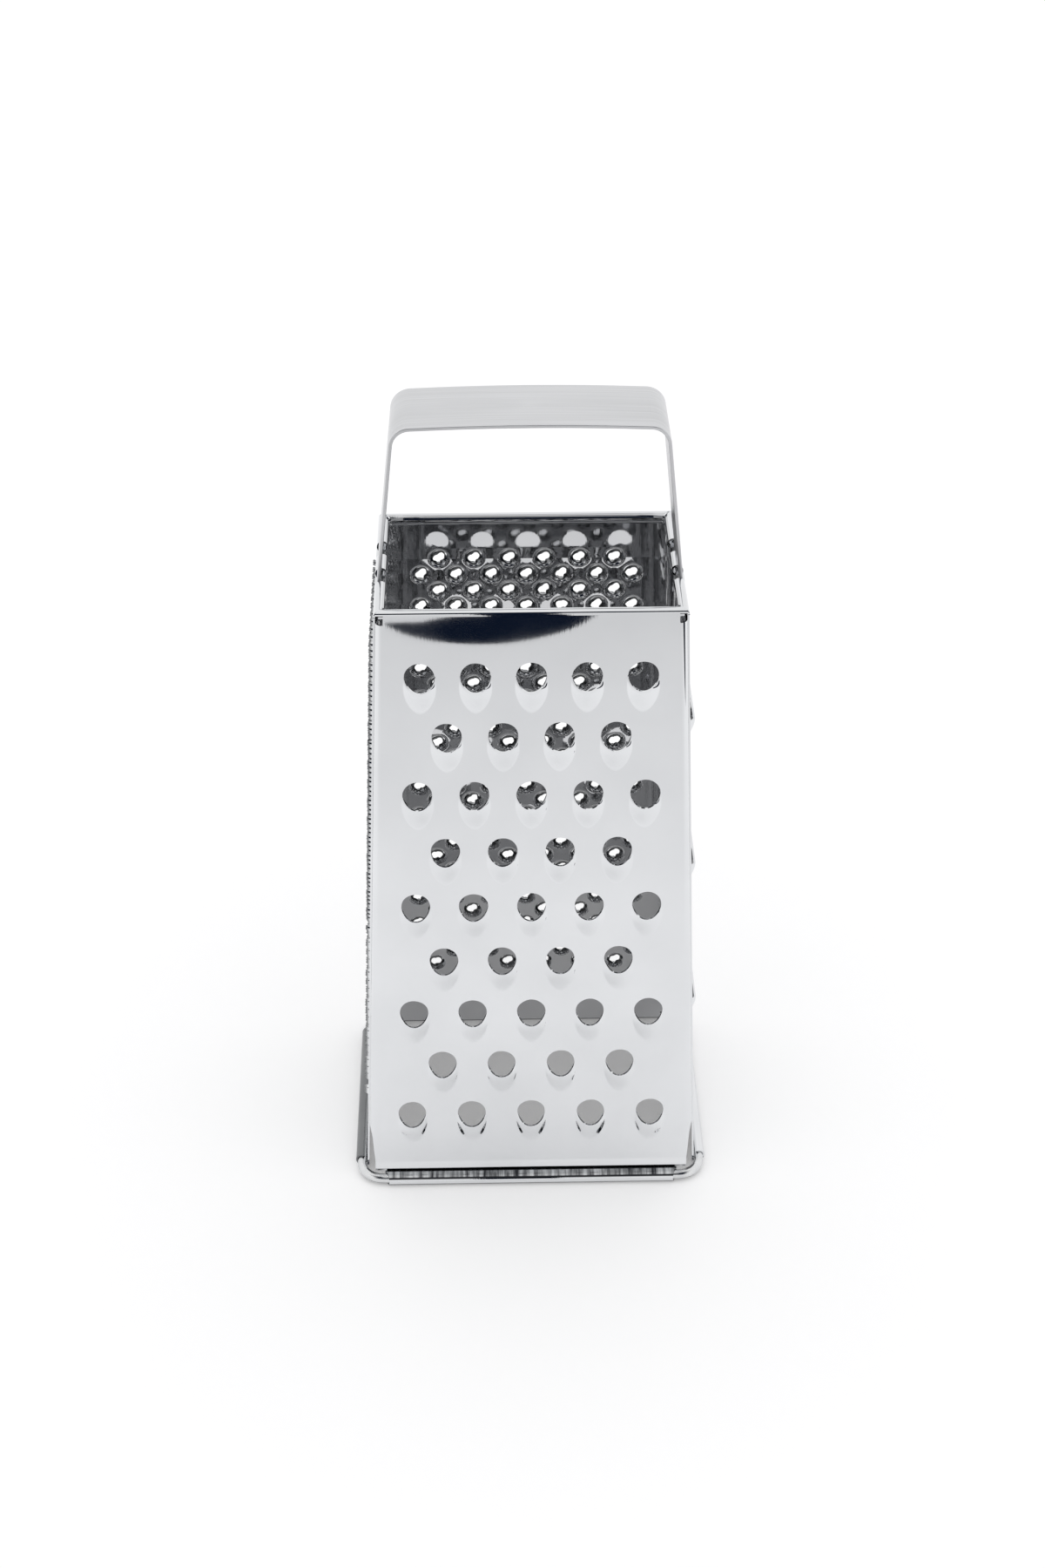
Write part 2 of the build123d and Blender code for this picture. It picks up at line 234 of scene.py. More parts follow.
class SheetMesh:
    """Faces of one bent sheet, welded where their points meet."""

    def __init__(self, wall, normal=None):
        self.wall = wall
        self.normal = normal or wall.normal
        self.points = []
        self.faces = []

    def add_grid(self, rows):
        """Quads between rows of points that have the same count."""
        start = len(self.points)
        count = len(rows[0])
        for row in rows:
            self.points.extend(row)
        for i in range(len(rows) - 1):
            for j in range(count - 1):
                corner = start + i * count + j
                self.faces.append((corner, corner + 1, corner + count + 1, corner + count))

    def add_rings(self, rings):
        """Quads between closed rings of points."""
        self.add_grid([ring + ring[:1] for ring in rings])

    def add_plate(self, outline, holes):
        """Flat region of the wall inside an outline and outside closed holes, given along and up."""
        border = inset(outline, flat_margin)
        self.add_rings([[self.wall.point(x, y) for x, y in ring] for ring in (outline, border)])
        coords = []
        edges = []
        owners = []
        for number, loop in enumerate([border] + holes):
            first = len(coords)
            coords.extend(Vector(point) for point in loop)
            owners.extend([number] * len(loop))
            for i in range(len(loop)):
                edges.append((first + i, first + (i + 1) % len(loop)))
        places, _, faces, sources, _, _ = delaunay_2d_cdt(
            coords, edges, [], cdt_mesh_faces, cdt_tolerance)
        start = len(self.points)
        self.points.extend(self.wall.point(place.x, place.y) for place in places)
        for face in faces:
            near = {owners[source] for corner in face for source in sources[corner]}
            if len(near) > 1 or near == {0}:
                self.faces.append(tuple(start + corner for corner in face))

    def build(self, name, thickness=sheet, edge=0.0):
        """Object of the sheet, given its thickness inward, its rounded edges and clean shading."""
        piece = smooth_object(name, self.points, self.faces, sheet_weld, self.normal)
        solid = piece.modifiers.new("thickness", "SOLIDIFY")
        solid.thickness = thickness * MM
        solid.offset = -1.0
        solid.use_even_offset = False
        if edge:
            rounding = piece.modifiers.new("rounded_edges", "BEVEL")
            rounding.width = edge * MM
            rounding.segments = 3
            rounding.limit_method = "ANGLE"
            rounding.angle_limit = sheet_sharp_angle
        return shaded(piece)


def shaded(piece):
    """Apply a piece's modifiers, hold it inside the solids' box and shade it smooth up to an angle."""
    evaluated = piece.evaluated_get(bpy.context.evaluated_depsgraph_get())
    mesh = bpy.data.meshes.new_from_object(evaluated)
    for vertex in mesh.vertices:
        vertex.co = [min(max(place, low), high) for place, low, high in zip(vertex.co, *cad_box)]
    piece.modifiers.clear()
    piece.data = mesh
    mesh.name = piece.name
    mesh.set_sharp_from_angle(angle=sheet_sharp_angle)
    shade = piece.modifiers.new("shading", "WEIGHTED_NORMAL")
    shade.keep_sharp = True
    return piece


def roll_rows(wall, centre, radius, start, sweep, columns, steps=20):
    """Rows of points round a roll; columns gives the places along for a point outward."""
    rows = []
    for i in range(steps + 1):
        angle = start + sweep * i / steps
        out = centre[0] + radius * cos(angle)
        up = centre[1] + radius * sin(angle)
        row = [wall.point(x, up, out) for x in columns(out)]
        for point in row:
            point.z = max(0.0, point.z)
        rows.append(row)
    return rows


def add_base_roll(piece, length):
    """Outward roll that wraps the wire; returns where it leaves the wall, up the slope."""
    wall = piece.wall
    centre = (base_roll_bore, -wall.drop_to(base_roll_height, base_roll_bore))

    def columns(out):
        reach = length / 2 - roll_end_skew * max(0.0, out)
        return [-reach, reach]

    piece.add_grid(roll_rows(wall, centre, base_roll_bore, pi, base_roll_sweep, columns, steps=22))
    return centre[1]


def mitre_reach(width, out):
    """Distance from the middle of a rim roll to its mitred end, for a point outward."""
    return width / 2 - mitre_gap / sqrt(2) + out


def staggered_rows(rows, first_count, second_count, first_row, row_pitch, top_pitch, base_pitch):
    """Points of rows that alternate in count and splay out down the wall."""
    points = []
    for row in range(rows):
        count = second_count if row % 2 else first_count
        pitch = mix(top_pitch, base_pitch, row / (rows - 1))
        for column in range(count):
            points.append(((column - (count - 1) / 2) * pitch, -first_row - row * row_pitch))
    return points


def ring_points(wall, centre, outline):
    """Ring of points on a wall round a centre, from offsets along, up and outward."""
    return [wall.point(centre[0] + x, centre[1] + y, z) for x, y, z in outline]


# Coarse teeth of the front wall
coarse_points = staggered_rows(9, 5, 4, first_row=18.6, row_pitch=17.8, top_pitch=14.5, base_pitch=17.06)
coarse_radius = 3.95
coarse_lip_height = 1.9
coarse_tongue_length = 10.8
coarse_root_width = 4.25
coarse_taper_start = 3.3
coarse_taper_power = 1.8
coarse_end_power = 0.6
coarse_rise_start = -0.6
coarse_rise_end = 0.85 * coarse_radius
coarse_unevenness = 0.035
coarse_side_limit = -0.02
coarse_halvings = 24


def coarse_half_width(y):
    """Half the width of the formed part below a coarse hole, narrowing to a round end."""
    share = (-y - coarse_taper_start) / (coarse_tongue_length - coarse_taper_start)
    share = min(1.0, max(0.0, share))
    return coarse_root_width * (1 - share ** coarse_taper_power) ** coarse_end_power


def coarse_height(x, y):
    """Height of the hood below a coarse hole, highest at the cutting edge."""
    half = coarse_half_width(y)
    if abs(x) >= half or y >= 0:
        return 0.0
    if -y < coarse_radius:
        level = smoothstep(coarse_rise_start, coarse_rise_end, 0)
        crest = (smoothstep(coarse_rise_start, coarse_rise_end, -y) - level) / (1 - level)
    else:
        share = (coarse_tongue_length + y) / (coarse_tongue_length - coarse_radius)
        crest = mix(smoothstep(0, 1, share), share, 0.5)
    return coarse_lip_height * crest * (1 - (x / half) ** 2)


def coarse_reach(angle):
    """Distance from a hole's centre to where its formed part meets the flat sheet."""
    if sin(angle) > coarse_side_limit:
        return coarse_root_width
    low, high = coarse_radius, coarse_tongue_length
    for _ in range(coarse_halvings):
        middle = (low + high) / 2
        if abs(middle * cos(angle)) < coarse_half_width(middle * sin(angle)):
            low = middle
        else:
            high = middle
    return high


def coarse_rings(place, segments=64, rings=12):
    """Rings of a coarse tooth from the flat sheet to the cutting edge."""
    turns = [2 * pi * j / segments for j in range(segments)]
    reaches = [coarse_reach(turn) for turn in turns]
    result = [[((reach + flat_margin) * cos(turn), (reach + flat_margin) * sin(turn), 0.0)
               for turn, reach in zip(turns, reaches)]]
    for i in range(rings + 1):
        ring = []
        for turn, reach in zip(turns, reaches):
            uneven = 1 + coarse_unevenness * seeded_round(place, turn, 0.15)
            far = mix(reach, coarse_radius * uneven, i / rings)
            x, y = far * cos(turn), far * sin(turn)
            ring.append((x, y, coarse_height(x, y)))
        result.append(ring)
    return result


# Medium teeth of the back wall
medium_points = staggered_rows(29, 6, 7, first_row=14.8, row_pitch=5.2, top_pitch=9.7, base_pitch=11.1)
medium_root_radius = 3.05
medium_mouth_radius = 1.5
medium_mouth_stretch = 0.25
medium_mouth_drop = 0.7
medium_crater_height = 1.2
medium_dome_power = 1.15
medium_burr_droop = 0.25
medium_oval = 0.10
medium_three_lobes = 0.11
medium_ragged = 0.12
medium_notch_depth = 0.35
medium_notch_turn = radians(235)
medium_notch_power = 10


def medium_mouth(place, turn):
    """Distance from a crater's centre to its torn mouth."""
    lean = seeded(place[0], place[1], 3.1)
    bulge = medium_oval * cos(2 * turn + 0.9 + lean)
    bulge += medium_three_lobes * cos(3 * turn - 0.6 + 2 * lean)
    ragged = medium_ragged * seeded_round(place, turn, 0.35)
    notch = medium_notch_depth * max(0.0, cos(turn - medium_notch_turn + lean)) ** medium_notch_power
    return medium_mouth_radius * (1 + bulge + ragged - notch)


def medium_rings(place, segments=28, rings=7):
    """Rings of a medium tooth: a domed crater with a torn mouth."""
    turns = [2 * pi * j / segments for j in range(segments)]
    margin = medium_root_radius + 0.7 * flat_margin
    result = [[(margin * cos(turn), margin * sin(turn), 0.0) for turn in turns]]
    for i in range(rings + 1):
        share = i / rings
        rise = medium_crater_height * sin(share * pi / 2) ** medium_dome_power
        stretch = 1 + medium_mouth_stretch * share ** 2
        drop = medium_mouth_drop * share ** 2
        ring = []
        for turn in turns:
            mouth = medium_mouth(place, turn)
            reach = mix(medium_root_radius, mouth, share)
            burr = medium_burr_droop * share ** 4 * (mouth - medium_mouth_radius)
            ring.append((reach * cos(turn), reach * sin(turn) * stretch - drop, rise - burr))
        result.append(ring)
    return result


# Fine burrs and rasp burrs of the left wall
fine_points = staggered_rows(31, 12, 11, first_row=12.9, row_pitch=2.95, top_pitch=4.0, base_pitch=4.7)
rasp_points = staggered_rows(11, 10, 9, first_row=106.6, row_pitch=5.1, top_pitch=5.8, base_pitch=6.3)
burr_levels = (0.0, 0.3, 0.6, 0.85, 1.0)
burr_zigzag = 0.22
burr_variation = 0.25
burr_mouth_share = 0.3
burr_crown_share = 0.8
burr_ceiling = 1.15


def burr_rings(place, root, mouth, height, lean, segments):
    """Rings of a small punched burr with a ragged crown that leans up the wall."""
    turns = [2 * pi * j / segments for j in range(segments)]
    margin = root + 0.5 * flat_margin
    result = [[(margin * cos(turn), margin * sin(turn), 0.0) for turn in turns]]
    for share in burr_levels:
        ring = []
        for j, turn in enumerate(turns):
            ragged = burr_zigzag * (1 if j % 2 else -1) + burr_variation * seeded(place[0], place[1], j)
            reach = mix(root, mouth * (1 + burr_mouth_share * ragged), share)
            rise = height * sin(share * pi / 2) * (1 + share ** 3 * ragged * burr_crown_share)
            x, y = reach * cos(turn), reach * sin(turn) + lean * share
            ring.append((x, y, min(rise, height * burr_ceiling)))
        result.append(ring)
    return result


def fine_rings(place):
    """Rings of a fine burr."""
    return burr_rings(place, root=1.0, mouth=0.5, height=1.15, lean=0.3, segments=10)


def rasp_rings(place):
    """Rings of a rasp burr."""
    return burr_rings(place, root=1.5, mouth=0.75, height=1.1, lean=0.35, segments=12)


# Slicing blades of the right wall
blade_first_row = 38.5
blade_pitch = 47.2
blade_points = [(0, -blade_first_row - blade_pitch * blade) for blade in range(3)]
blade_width = 42.0
blade_lip_height = 1.9
blade_hood_length = 5.4
blade_slot_height = 3.4
blade_end_length = 2.4
blade_slot_radius = 1.5
blade_swell_power = 1.1
blade_end_power = 0.8
blade_columns = 60
blade_rows = 12
blade_slot_steps = 6


def add_blade(piece, centre):
    """Raised lip below a slot; returns the outline of the opening in the flat sheet."""
    half = blade_width / 2
    reach = half + flat_margin
    foot = -blade_hood_length - flat_margin
    across = [-reach] + [mix(-half, half, i / blade_columns) for i in range(blade_columns + 1)] + [reach]
    down = [foot] + [-blade_hood_length * (1 - i / blade_rows) for i in range(blade_rows + 1)]
    rows = []
    for y in down:
        swell = sin(max(0.0, 1 + y / blade_hood_length) * pi / 2) ** blade_swell_power
        row = []
        for x in across:
            end = smoothstep(0, blade_end_length, half - abs(x)) ** blade_end_power
            row.append(piece.wall.point(centre[0] + x, centre[1] + y, blade_lip_height * swell * end))
        rows.append(row)
    piece.add_grid(rows)
    slot = []
    for side in (1, -1):
        for i in range(blade_slot_steps + 1):
            turn = pi / 2 * (i if side > 0 else blade_slot_steps - i) / blade_slot_steps
            x = side * (half - blade_slot_radius + blade_slot_radius * cos(turn))
            slot.append((x, blade_slot_height - blade_slot_radius + blade_slot_radius * sin(turn)))
    right_side = [(reach, y) for y in down[1:]]
    left_side = [(-x, y) for x, y in reversed(right_side)]
    outline = [(x, foot) for x in across] + right_side + [(half, 0)] + slot + [(-half, 0)] + left_side
    return [(centre[0] + x, centre[1] + y) for x, y in outline]


def add_teeth(piece, points, rings_at):
    """Teeth at points of a wall; returns the outlines where they meet the flat sheet."""
    outlines = []
    for place in points:
        rings = rings_at(place)
        piece.add_rings([ring_points(piece.wall, place, ring) for ring in rings])
        outlines.append([(place[0] + x, place[1] + y) for x, y, _ in rings[0]])
    return outlines


def plate_outline(wall, side_points, top_points, roll_length, base_up):
    """Outline of a wall's flat sheet, from its right edge going up, its top edge and its base."""
    half = roll_length / 2
    right_side = [(half, -wall.drop_to(corner_lift))] + side_points
    left_side = [(-x, y) for x, y in reversed(right_side)]
    return [(half, base_up)] + right_side + top_points + left_side + [(-half, base_up)]


def folded_wall(wall, name, teeth, roll_radius=rim_roll_radius, roll_lift=0.0):
    """Front or back wall with its bends, flanges, rolled rim and wired base."""
    rim_level = roll_lift - roll_radius
    piece = SheetMesh(wall)
    heights = [mix(corner_lift, corner_relief_height, i / 5) for i in range(6)]
    heights += [mix(corner_relief_height, notch_height, i / 6) for i in range(1, 7)]
    side_points = [(half_width_at(h) - bend_radius, -wall.drop_to(h)) for h in heights]
    top = half_width_at(wall.height_of(rim_level)) - bend_radius
    top_points = [(top, rim_level), (-top, rim_level)]
    base_up = add_base_roll(piece, front_roll_length)
    outline = plate_outline(wall, side_points, top_points, front_roll_length, base_up)
    piece.add_plate(outline, add_teeth(piece, *teeth))
    for side in (-1, 1):
        piece.add_grid([bend_row(wall, side, height) for height in heights])
        uncut = [height for height in heights if height >= corner_relief_height]
        piece.add_grid([flange_row(wall, side, height) for height in uncut])

    def columns(out):
        reach = mitre_reach(top_width, out)
        return [-reach, -top, top, reach]

    centre = (-roll_radius, rim_level)
    piece.add_grid(roll_rows(wall, centre, roll_radius, 0, rim_roll_sweep, columns))
    return piece.build(name)


def bend_row(wall, side, height, steps=8):
    """Points round an upright corner's bend at a height; the relief near the base shortens it."""
    middle_x = half_width_at(height) - bend_radius
    middle_y = half_depth_at(height) - bend_radius
    most = pi / 2
    if height < corner_relief_height:
        edge = half_width_at(corner_relief_height) - sheet
        edge -= corner_relief_width * (1 - height / corner_relief_height)
        most = asin(min(1.0, max(0.05, (edge - middle_x) / bend_radius)))
    row = []
    for i in range(steps + 1):
        angle = most * i / steps
        x = side * (middle_x + bend_radius * sin(angle))
        y = wall.outward.y * (middle_y + bend_radius * cos(angle))
        row.append(Vector((x, y, height)))
    return row


def flange_row(wall, side, height):
    """Points across a flange behind its bend at a height."""
    x = side * half_width_at(height)
    bend_end = half_depth_at(height) - bend_radius
    free_end = half_depth_at(height) - flange_depth
    return [Vector((x, wall.outward.y * y, height)) for y in (bend_end, free_end)]


def flat_wall(wall, name, teeth=(), blades=()):
    """Left or right wall: a flat plate with slotted rolled rim and wired base."""
    piece = SheetMesh(wall)
    setback = bend_radius + lap_setback
    top_height = wall.height_of(-rim_roll_radius)
    heights = [corner_lift, rim_height / 2]
    side_points = [(half_depth_at(h) - setback, -wall.drop_to(h)) for h in heights]
    top = half_depth_at(top_height) - setback
    seat_near = (prong_spacing - prong_width) / 2 - slot_clearance
    seat_far = (prong_spacing + prong_width) / 2 + slot_clearance
    seats = [top, seat_far, seat_near, -seat_near, -seat_far, -top]
    top_points = [(x, -rim_roll_radius) for x in seats]
    base_up = add_base_roll(piece, side_roll_length)
    outline = plate_outline(wall, side_points, top_points, side_roll_length, base_up)
    holes = [hole for group in teeth for hole in add_teeth(piece, *group)]
    holes += [add_blade(piece, centre) for centre in blades]
    piece.add_plate(outline, holes)

    def right_end(out):
        return [seat_far, top, mitre_reach(top_depth, out)]

    def left_end(out):
        return [-x for x in reversed(right_end(out))]

    def middle(_):
        return [-seat_near, seat_near]

    centre = (-rim_roll_radius, -rim_roll_radius)
    for columns in (left_end, middle, right_end):
        piece.add_grid(roll_rows(wall, centre, rim_roll_radius, 0, rim_roll_sweep, columns))
    return piece.build(name)


def swept(stations, section):
    """Points and faces of a section swept along stations of (place, side direction, up direction)."""
    points = []
    faces = []
    count = len(section)
    for place, sideways, upward in stations:
        points.extend(place + sideways * s + upward * u for s, u in section)
    for i in range(len(stations) - 1):
        for j in range(count):
            after = (j + 1) % count
            faces.append((i * count + j, i * count + after, (i + 1) * count + after, (i + 1) * count + j))
    return points, faces


def base_wire_ring(corner_steps=12, sides=20):
    """Round wire bent into a rounded rectangle that closes on itself."""
    radius = wire_diameter / 2
    corner_x = wire_high.x - radius - wire_corner_radius
    corner_y = wire_high.y - radius - wire_corner_radius
    stations = []
    for side_x, side_y, first in ((1, -1, -90), (1, 1, 0), (-1, 1, 90), (-1, -1, 180)):
        middle = Vector((side_x * corner_x, side_y * corner_y, base_roll_height))
        for i in range(corner_steps + 1):
            angle = radians(first + 90 * i / corner_steps)
            outward = Vector((cos(angle), sin(angle), 0))
            stations.append((middle + outward * wire_corner_radius, outward, Vector((0, 0, 1))))
    stations.append(stations[0])
    turns = [2 * pi * i / sides for i in range(sides)]
    points, faces = swept(stations, [(radius * cos(turn), radius * sin(turn)) for turn in turns])
    piece = smooth_object("base_wire_ring", points, faces, wire_weld)
    piece.data.set_sharp_from_angle(angle=wire_sharp_angle)
    return piece


def strap_path(shoulder_steps=14, crown_steps=12):
    """Places along the middle of the strap's outer face, from the right foot to the left one."""
    rim_x = top_width / 2 - sheet / cos(width_lean) - seat_gap
    foot = Vector((rim_x + foot_depth * tan(width_lean), 0, rim_height - foot_depth))
    rim = Vector((rim_x, 0, rim_height))
    shoulder = Vector((shoulder_half_width, 0, overall_height - shoulder_drop))
    leg = (shoulder - rim).normalized()
    crown = Vector((-1, 0, 2 * shoulder_drop / shoulder_half_width)).normalized()
    turn = leg.angle(crown)
    tangent = shoulder_radius * tan(turn / 2)
    start = shoulder - leg * tangent
    inward = Vector((-leg.z, 0, leg.x))
    middle = start + inward * shoulder_radius
    root = rim + leg * (prong_root_height / leg.z)
    places = [foot, mix(foot, rim, 0.5), rim, root, mix(root, start, 0.35), mix(root, start, 0.7)]
    for i in range(shoulder_steps + 1):
        angle = turn * i / shoulder_steps
        spoke = leg * sin(angle) - inward * cos(angle)
        places.append(middle + spoke * shoulder_radius)
    reach = places[-1].x
    for i in range(1, crown_steps + 1):
        x = reach * (1 - i / crown_steps)
        places.append(Vector((x, 0, overall_height - shoulder_drop * (x / shoulder_half_width) ** 2)))
    return places + [Vector((-place.x, 0, place.z)) for place in reversed(places[:-1])]


def handle_band():
    """Bent strap with its two prongs a side."""
    band = SheetMesh(None, Vector((0, 0, 1)))
    prong_near = (prong_spacing - prong_width) / 2
    prong_far = (prong_spacing + prong_width) / 2
    places = strap_path()
    root = places[3].z
    columns = [-strap_width / 2, -prong_far, -prong_near, prong_near, prong_far, strap_width / 2]
    band.add_grid([[place + Vector((0, y, 0)) for y in columns] for place in places if place.z >= root])
    for side in (-1, 1):
        prong = [side * prong_near, side * prong_far]
        for end in (places[:4], places[-4:]):
            band.add_grid([[place + Vector((0, y, 0)) for y in prong] for place in end])
    return band.build("handle_band", strap_thickness, strap_edge_radius)


# Finishes; the lengths in them are in metres, as shaders measure them
pattern_range = (0.3, 0.7)
wave_depth = 0.00012
rolling_depth = 0.0000015
brushing_depth = 0.00002
drawing_depth = 0.00001

# Product of place and normal below which a face counts as the inside of the box
inward_limit = -0.014

# Rise above the flat sheet over which painted shade comes onto what is punched out of it
punch_shade_start = 0.0002
punch_shade_full = 0.0008

# Bow of the back wall: its middle, its curve, and its deeper part below the rim
bow_middle = 0.0204
bow_curve = -0.407
bow_rim_start = 0.1705
bow_rim_end = 0.1865
bow_rim_depth = 0.0006

# Flare of the front wall towards its base roll: its depth and the heights it runs between
flare_depth = 0.0009
flare_foot = 0.003
flare_top = 0.0068

# Heights of the painted dark reflection band on top of the base roll, and of the painted highlight ticks in
# it
roll_reflection_low = 0.0030
roll_reflection_high = 0.0041
roll_reflection_fade = 0.0003
highlight_tick_low = 0.0034
highlight_tick_fade = 0.0002

# Heights up to which the rolls and the wire get painted contact shadow, where they stand on the floor
roll_contact_shadow_top = 0.0011
wire_contact_shadow_top = 0.0012
contact_shadow_fade = 0.0003


class Finish:
    """Material with a Principled shader, and the nodes that feed it."""

    def __init__(self, name):
        self.material = bpy.data.materials.new(name)
        self.material.use_nodes = True
        self.nodes = self.material.node_tree.nodes
        self.inputs = self.nodes["Principled BSDF"].inputs

    def feed(self, socket, value):
        """Link a socket to another one, or set it."""
        if isinstance(value, bpy.types.NodeSocket):
            self.material.node_tree.links.new(value, socket)
        else:
            socket.default_value = value

    def place(self):
        """Place in the piece's own space."""
        return self.nodes.new("ShaderNodeTexCoord").outputs["Object"]

    def axis(self, name):
        """Place along one axis."""
        axes = self.nodes.new("ShaderNodeSeparateXYZ")
        self.feed(axes.inputs["Vector"], self.place())
        return axes.outputs[name]

    def math(self, operation, *values):
        """Result of a math node."""
        node = self.nodes.new("ShaderNodeMath")
        node.operation = operation
        for socket, value in zip(node.inputs, values):
            self.feed(socket, value)
        return node.outputs["Value"]

    def vector(self, operation, *values):
        """Result of a vector math node."""
        node = self.nodes.new("ShaderNodeVectorMath")
        node.operation = operation
        for socket, value in zip(node.inputs, values):
            self.feed(socket, value)
        return node.outputs["Value" if operation == "DOT_PRODUCT" else "Vector"]

    def ramp(self, source, start, end, low=0.0, high=1.0):
        """Value that goes from low to high while the source goes from start to end."""
        node = self.nodes.new("ShaderNodeMapRange")
        self.feed(node.inputs["Value"], source)
        self.feed(node.inputs["From Min"], start)
        self.feed(node.inputs["From Max"], end)
        self.feed(node.inputs["To Min"], low)
        self.feed(node.inputs["To Max"], high)
        return node.outputs["Result"]

    def band(self, low, high, fade):
        """1 between two heights and 0 outside them, fading over a distance."""
        height = self.axis("Z")
        rise = self.ramp(height, low - fade, low)
        return self.math("MULTIPLY", rise, self.ramp(height, high + fade, high))

    def pattern(self, scale, detail, stretch=(1, 1, 1)):
        """Noise in the piece's own space, finer or coarser along its axes."""
        spread = self.nodes.new("ShaderNodeMapping")
        self.feed(spread.inputs["Vector"], self.place())
        self.feed(spread.inputs["Scale"], stretch)
        node = self.nodes.new("ShaderNodeTexNoise")
        self.feed(node.inputs["Vector"], spread.outputs["Vector"])
        self.feed(node.inputs["Scale"], scale)
        self.feed(node.inputs["Detail"], detail)
        return node.outputs["Fac"]

    def spread(self, source, low, high):
        """Values of a pattern spread between two limits."""
        return self.ramp(source, *pattern_range, low, high)

    def tint(self, source, dark, light):
        """Colour between two greys, driven by a pattern."""
        node = self.nodes.new("ShaderNodeValToRGB")
        for stop, position, colour in zip(node.color_ramp.elements, pattern_range, (dark, light)):
            stop.position = position
            stop.color = (*colour, 1)
        self.feed(node.inputs["Fac"], source)
        return node.outputs["Color"]

    def blend(self, share, first, second):
        """First colour blended into the second by a share."""
        node = self.nodes.new("ShaderNodeMix")
        node.data_type = "RGBA"
        colours = [socket for socket in node.inputs if socket.type == "RGBA"]
        self.feed(node.inputs["Factor"], share)
        self.feed(colours[0], first)
        self.feed(colours[1], second)
        return next(socket for socket in node.outputs if socket.type == "RGBA")

    def bump(self, source, depth, below=None):
        """Bump of a pattern, on top of another bump."""
        node = self.nodes.new("ShaderNodeBump")
        self.feed(node.inputs["Strength"], 1.0)
        self.feed(node.inputs["Distance"], depth)
        self.feed(node.inputs["Height"], source)
        if below:
            self.feed(node.inputs["Normal"], below)
        return node.outputs["Normal"]

    def outside(self):
        """1 on faces that look away from the upright axis and 0 on the inside of the box."""
        level = self.vector("MULTIPLY", self.place(), (1, 1, 0))
        normal = self.nodes.new("ShaderNodeNewGeometry").outputs["True Normal"]
        return self.math("GREATER_THAN", self.vector("DOT_PRODUCT", level, normal), inward_limit)

    def torn(self, wall, outside):
        """Mask for painted shade: 0 on a wall's flat sheet, rising to 1 on both sides of what is punched out
        of it.
        """
        height = self.vector("DOT_PRODUCT", self.place(), wall.normal)
        height = self.math("MULTIPLY_ADD", outside, -sheet * MM, height)
        inner_face = wall.origin.dot(wall.normal) * MM - sheet * MM
        return self.ramp(height, inner_face + punch_shade_start, inner_face + punch_shade_full)

    def bowed(self, below):
        """Bump of a wall that bows inward between its corners, and more so just below the rim."""
        offset = self.math("SUBTRACT", self.axis("X"), bow_middle)
        depth = self.math("MULTIPLY", self.math("MULTIPLY", offset, offset), bow_curve)
        across = self.bump(depth, 1.0, below)
        return self.bump(self.ramp(self.axis("Z"), bow_rim_start, bow_rim_end), bow_rim_depth, across)

    def painted_roll_reflection(self, colour, outside):
        """Colour with a painted dark reflection band and painted highlight ticks on top of the base roll."""
        highlight_ticks = self.pattern(scale=900, detail=2, stretch=(1, 0.1, 0.1))
        highlight_ticks = self.math("MULTIPLY", highlight_ticks, self.band(highlight_tick_low, roll_reflection_high, highlight_tick_fade))
        dark_reflection = self.math("MULTIPLY", self.band(roll_reflection_low, roll_reflection_high, roll_reflection_fade), outside)
        return self.blend(dark_reflection, colour, self.tint(highlight_ticks, (0.03, 0.032, 0.036), (0.52, 0.53, 0.54)))

    def contact_shaded(self, colour, cloud, top):
        """Colour with painted contact shadow on the underside, up to a height."""
        dark = self.tint(cloud, (0.12, 0.124, 0.13), (0.22, 0.225, 0.23))
        return self.blend(self.band(-1.0, top, contact_shadow_fade), colour, dark)


def bright_sheet(name, wall=None, painted_roll_reflection=False, flare=0.0, bow=False):
    """Bright rolled stainless sheet, wavy, with painted shade inside the box and painted contact shadow
    below.

    Given a wall, what is punched out of it takes painted shade. The base roll's top can take a painted
    dark reflection and painted highlight ticks; the sheet can flare by a depth just above the base roll,
    and it can bow.
    """
    finish = Finish(name)
    finish.inputs["Metallic"].default_value = 1.0
    rolling = finish.pattern(scale=60, detail=3, stretch=(40, 40, 0.5))
    waves = finish.pattern(scale=22, detail=1, stretch=(1, 1, 0.5))
    cloud = finish.pattern(scale=35, detail=4)
    outside = finish.outside()
    # Painted shade: the inside faces take a darker copy of the steel colour, for the dim inside of the box
    shaded_inside = finish.tint(cloud, (0.58, 0.585, 0.60), (0.64, 0.645, 0.655))
    outer = finish.tint(cloud, (0.72, 0.73, 0.745), (0.77, 0.78, 0.795))
    colour = finish.blend(outside, shaded_inside, outer)
    if wall:
        # Painted shade on the punched teeth and burrs, which look dark from their own shading
        punch_shade = finish.tint(cloud, (0.16, 0.165, 0.17), (0.24, 0.245, 0.25))
        colour = finish.blend(finish.torn(wall, outside), colour, punch_shade)
    # Painted contact shadow: the sheet is darker low down, where the roll meets the floor
    colour = finish.contact_shaded(colour, cloud, roll_contact_shadow_top)
    # Painted dark reflection and painted highlight ticks on top of the base roll
    if painted_roll_reflection:
        colour = finish.painted_roll_reflection(colour, outside)
    finish.feed(finish.inputs["Base Color"], colour)
    finish.feed(finish.inputs["Roughness"], finish.spread(cloud, 0.015, 0.04))
    bent = finish.bump(waves, wave_depth)
    if flare:
        bent = finish.bump(finish.ramp(finish.axis("Z"), flare_top, flare_foot), flare, bent)
    if bow:
        bent = finish.bowed(bent)
    finish.feed(finish.inputs["Normal"], finish.bump(rolling, rolling_depth, bent))
    return finish.material


